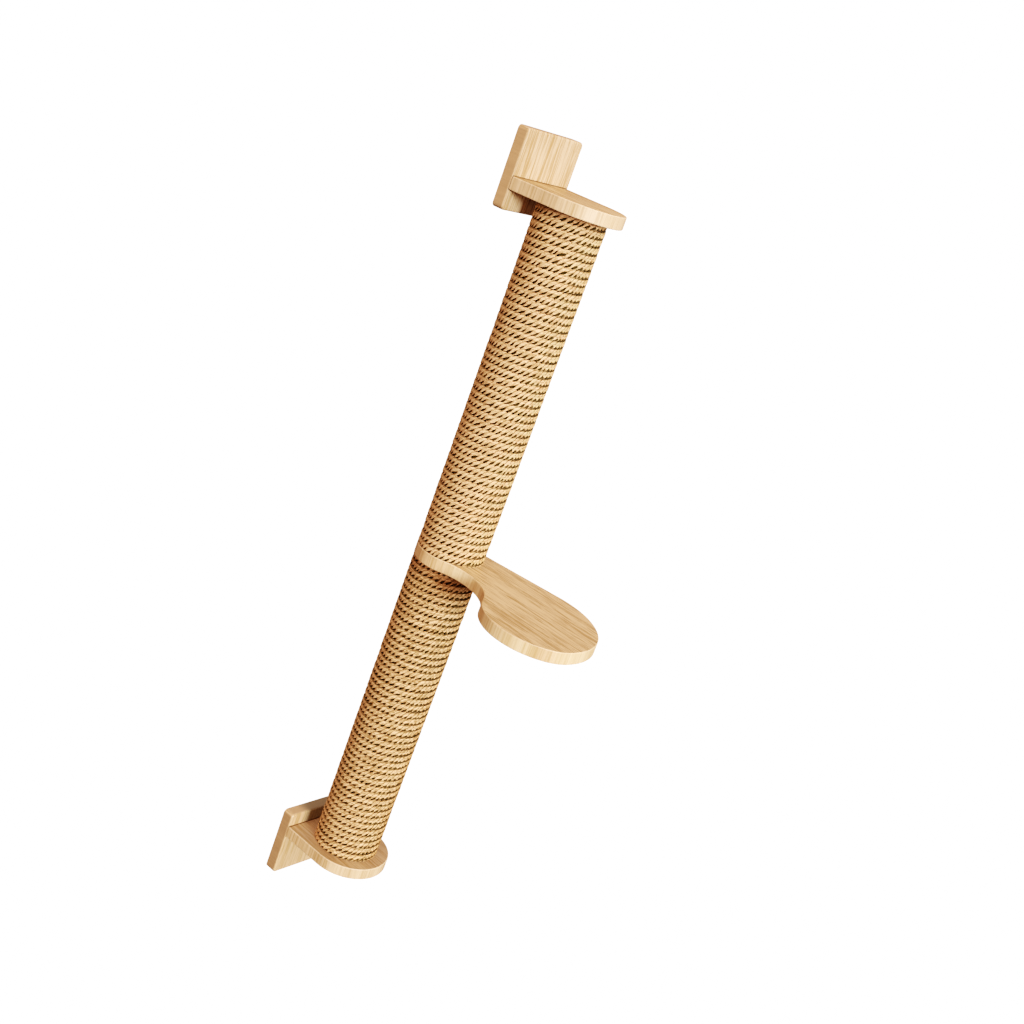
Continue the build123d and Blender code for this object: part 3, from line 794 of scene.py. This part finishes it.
# Darker than the upper plate: painted shade on the lower bracket.
lower_plate_wood = wood_material(
    "lower_wall_plate_wood", 2, (0.70, 0.475, 0.28), HONEY,
    edge=LOWER_SHADED_EDGE, crown=(0.60, 0.42, 0.255), behind=(heights("lower_shelf")[1], (0.44, 0.54, 0.57)),
    joints=[(2, z) for z in heights("lower_shelf")],
    Stave_Width=23 * MM, Stave_Contrast=0.4, Streak_Contrast=0.8, Fine_Contrast=1.4, Line_Amount=0.6,
    Seam_Amount=0.4)
shelf_wood = wood_material(
    "shelf_wood", 1, PALE, HONEY,
    top=(0.74, 0.71, 0.62), tip=(-135 * MM, (1.0, 1.0, 0.93)), joints=[(1, PLATE_FRONT)],
    Stave_Width=26 * MM, Stave_Contrast=0.5, Streak_Contrast=0.7, Fine_Contrast=0.8, Line_Amount=0.4,
    Seam_Amount=0.2, Rim_Contrast=1.0)
# Darker than the upper shelf, its top most: painted shade on the lower bracket.
lower_shelf_wood = wood_material(
    "lower_shelf_wood", 1, (0.82, 0.585, 0.355), HONEY,
    top=(0.69, 0.72, 0.75), joints=[(1, PLATE_FRONT)],
    Stave_Width=30 * MM, Stave_Contrast=0.4, Streak_Contrast=0.35, Fine_Contrast=0.6, Line_Amount=0.25,
    Seam_Amount=0.2, Rim_Contrast=1.0)
step_wood = wood_material(
    "step_wood", 1, PALE, (0.50, 0.325, 0.175),
    top=(0.93, 0.96, 0.92), rim=step_rim,
    Stave_Width=45 * MM, Stave_Contrast=0.3, Streak_Contrast=1.2, Fine_Contrast=2.4, Line_Amount=0.8,
    Seam_Amount=0.2, Rim_Contrast=0.9)
plug_wood = wood_material(
    "plug_softwood", 1, (0.74, 0.55, 0.33), (0.56, 0.36, 0.18),
    Stave_Width=200 * MM, Stave_Contrast=0.0, Streak_Contrast=0.9, Fine_Contrast=0.4, Line_Amount=0.6)
dowel_wood = wood_material(
    "dowel_beech", 1, (0.70, 0.50, 0.31), (0.60, 0.39, 0.22),
    Stave_Width=200 * MM, Stave_Contrast=0.0, Streak_Contrast=0.3, Fine_Contrast=0.6, Line_Amount=0.1)

BOARDS = {"upper_wall_plate": plate_wood, "lower_wall_plate": lower_plate_wood, "upper_shelf": shelf_wood,
          "lower_shelf": lower_shelf_wood, "step_board": step_wood}
ENDINGS = {"_post_tube": core_board, "_plug": plug_wood, "_dowels": dowel_wood, "_tacks": nail}

for node, piece in frame["nodes"].items():
    by_ending = next((material for ending, material in ENDINGS.items() if node.endswith(ending)), zinc)
    piece.data.materials.clear()
    piece.data.materials.append(BOARDS.get(node, by_ending))

# ---------------------------------------------------------------- the two windings
upper_sisal = make_sisal(
    "upper_sisal", start=-0.22, wide=0.60, lines=0.30,
    under_board=(heights("upper_rope_winding")[1], 20 * MM),
    dark=(0.48, 0.265, 0.125), bright=(1.0, 0.645, 0.375), green=0.50, warm=(1.0, 0.98, 0.91))
lower_sisal = make_sisal(
    "lower_sisal", start=0.0, wide=0.74, lines=0.95,
    under_board=(heights("lower_rope_winding")[1], 30 * MM),
    dark=(0.35, 0.19, 0.078), bright=(1.0, 0.635, 0.355), green=0.15, warm=(1.0, 0.91, 0.82))

# Each winding's sisal, the seed of its irregularities, how much its turns stray, and where on the rope's
# section its lower grooves begin.
WINDINGS = {"upper": (upper_sisal, 11, 0.20 * MM, -0.15), "lower": (lower_sisal, 23, 0.34 * MM, 0.05)}

for half, (sisal, seed, slack, start) in WINDINGS.items():
    for k in range(STRANDS):
        strand = wind_strand(f"{half}_rope_strand_{k + 1}", f"{half}_rope_winding", k, seed, slack, start)
        strand.data.materials.append(sisal)
        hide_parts(f"{half}_rope_winding")
        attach(strand, "wall_frame")

# ---------------------------------------------------------------- floor, light and camera
FLOOR_Z = -1.75
FLOOR_SIZE = 60
WHITE = 2.0                             # the brightness that shows as pure white

AMBIENT = (1.0, 0.72, 0.61)
AMBIENT_ABOVE = 1.45                    # its strength from straight above, fading to none from below
AMBIENT_LEFT = 1.25                     # shares of that from the left, the right, the room and the wall
AMBIENT_RIGHT = 0.75
AMBIENT_ROOM = 1.15
AMBIENT_WALL = 0.60
LAMP_LEFT = 22                          # degrees to the left of straight in front
LAMP_UP = 10                            # degrees above level
LAMP_WIDTH = 13                         # degrees across, which softens its shadows
LAMP_STRENGTH = 4.0
LAMP_COLOUR = (0.96, 0.99, 1.0)

CAMERA_PLACE = (-1.53096, -1.13994, 0.11869)
CAMERA_BEARING = 57.3113                # degrees from straight at the wall round to the right
CAMERA_DOWN = 17.4820                   # degrees below level
CAMERA_ROLL = 20.4269                   # degrees by which the picture leans
LENS = 48.52                            # millimetres, and so is the sensor's width
SENSOR = 36

# A print-like curve: deep shades, and lights that soften towards white.
TONES = ((0.02, 0.004), (0.05, 0.020), (0.10, 0.064), (0.20, 0.18), (0.30, 0.2975), (0.40, 0.3975),
         (0.50, 0.48), (0.60, 0.548), (0.80, 0.66), (1.0, 0.745), (1.3, 0.845), (1.6, 0.92))


def pale_floor():
    bpy.ops.object.select_all(action="DESELECT")
    bpy.ops.mesh.primitive_plane_add(size=FLOOR_SIZE, location=(0, 0, FLOOR_Z))
    floor = bpy.context.object
    floor.name = "floor"
    material, tree, shader = new_material("pale_floor", 0.9)
    shader["Base Color"].default_value = (0.14, 0.13, 0.12, 1)
    shader["Emission Color"].default_value = (1, 1, 1, 1)
    rays = tree.nodes.new("ShaderNodeLightPath")
    feed(tree, shader["Emission Strength"], times(tree, rays.outputs["Is Camera Ray"], WHITE))
    floor.data.materials.append(material)


def surround():
    """A warm even light from all round, in front of a white backdrop."""
    world = bpy.data.worlds.new("studio")
    bpy.context.scene.world = world
    world.use_nodes = True
    tree = world.node_tree
    tree.nodes.clear()
    out = tree.nodes.new("ShaderNodeOutputWorld")
    mix = tree.nodes.new("ShaderNodeMixShader")
    rays = tree.nodes.new("ShaderNodeLightPath")
    ambient = tree.nodes.new("ShaderNodeBackground")
    ambient.inputs["Color"].default_value = (*AMBIENT, 1)
    sky = split(tree, tree.nodes.new("ShaderNodeTexCoord").outputs["Generated"])
    above = fade(tree, sky[2], -1.0, 1.0, 0.0, AMBIENT_ABOVE)
    beside = fade(tree, sky[0], -1.0, 1.0, AMBIENT_LEFT, AMBIENT_RIGHT)
    before = fade(tree, sky[1], -0.7, 0.7, AMBIENT_ROOM, AMBIENT_WALL)
    feed(tree, ambient.inputs["Strength"], times(tree, above, times(tree, beside, before)))
    backdrop = tree.nodes.new("ShaderNodeBackground")
    backdrop.inputs["Color"].default_value = (1, 1, 1, 1)
    backdrop.inputs["Strength"].default_value = WHITE
    tree.links.new(rays.outputs["Is Camera Ray"], mix.inputs["Fac"])
    tree.links.new(ambient.outputs[0], mix.inputs[1])
    tree.links.new(backdrop.outputs[0], mix.inputs[2])
    tree.links.new(mix.outputs[0], out.inputs["Surface"])


def soft_lamp():
    """A soft lamp far off in front, a little to the left and above."""
    side = math.radians(LAMP_LEFT)
    rise = math.radians(LAMP_UP)
    level = math.cos(rise)
    toward = Vector((-math.sin(side) * level, -math.cos(side) * level, math.sin(rise)))
    data = bpy.data.lights.new("lamp", "SUN")
    data.angle = math.radians(LAMP_WIDTH)
    data.energy = LAMP_STRENGTH
    data.color = LAMP_COLOUR
    lamp = bpy.data.objects.new("lamp", data)
    lamp.rotation_euler = toward.to_track_quat("Z", "Y").to_euler()
    bpy.context.scene.collection.objects.link(lamp)


def camera():
    bearing = Matrix.Rotation(math.radians(-CAMERA_BEARING), 4, "Z")
    pitch = Matrix.Rotation(math.radians(90 - CAMERA_DOWN), 4, "X")
    roll = Matrix.Rotation(math.radians(CAMERA_ROLL), 4, "Z")
    data = bpy.data.cameras.new("camera")
    data.lens = LENS
    data.sensor_width = SENSOR
    cam = bpy.data.objects.new("camera", data)
    cam.matrix_world = Matrix.Translation(CAMERA_PLACE) @ bearing @ pitch @ roll
    bpy.context.scene.collection.objects.link(cam)
    bpy.context.scene.camera = cam


def tone_curve():
    view = bpy.context.scene.view_settings
    view.view_transform = "Standard"
    view.use_curve_mapping = True
    mapping = view.curve_mapping
    mapping.white_level = (WHITE, WHITE, WHITE)
    mapping.extend = "HORIZONTAL"
    curve = mapping.curves[3]
    curve.points[0].location = (0, 0)
    curve.points[1].location = (1, 1)
    for light, shown in TONES:
        curve.points.new(light / WHITE, shown)
    mapping.update()


pale_floor()
surround()
soft_lamp()
camera()
tone_curve()
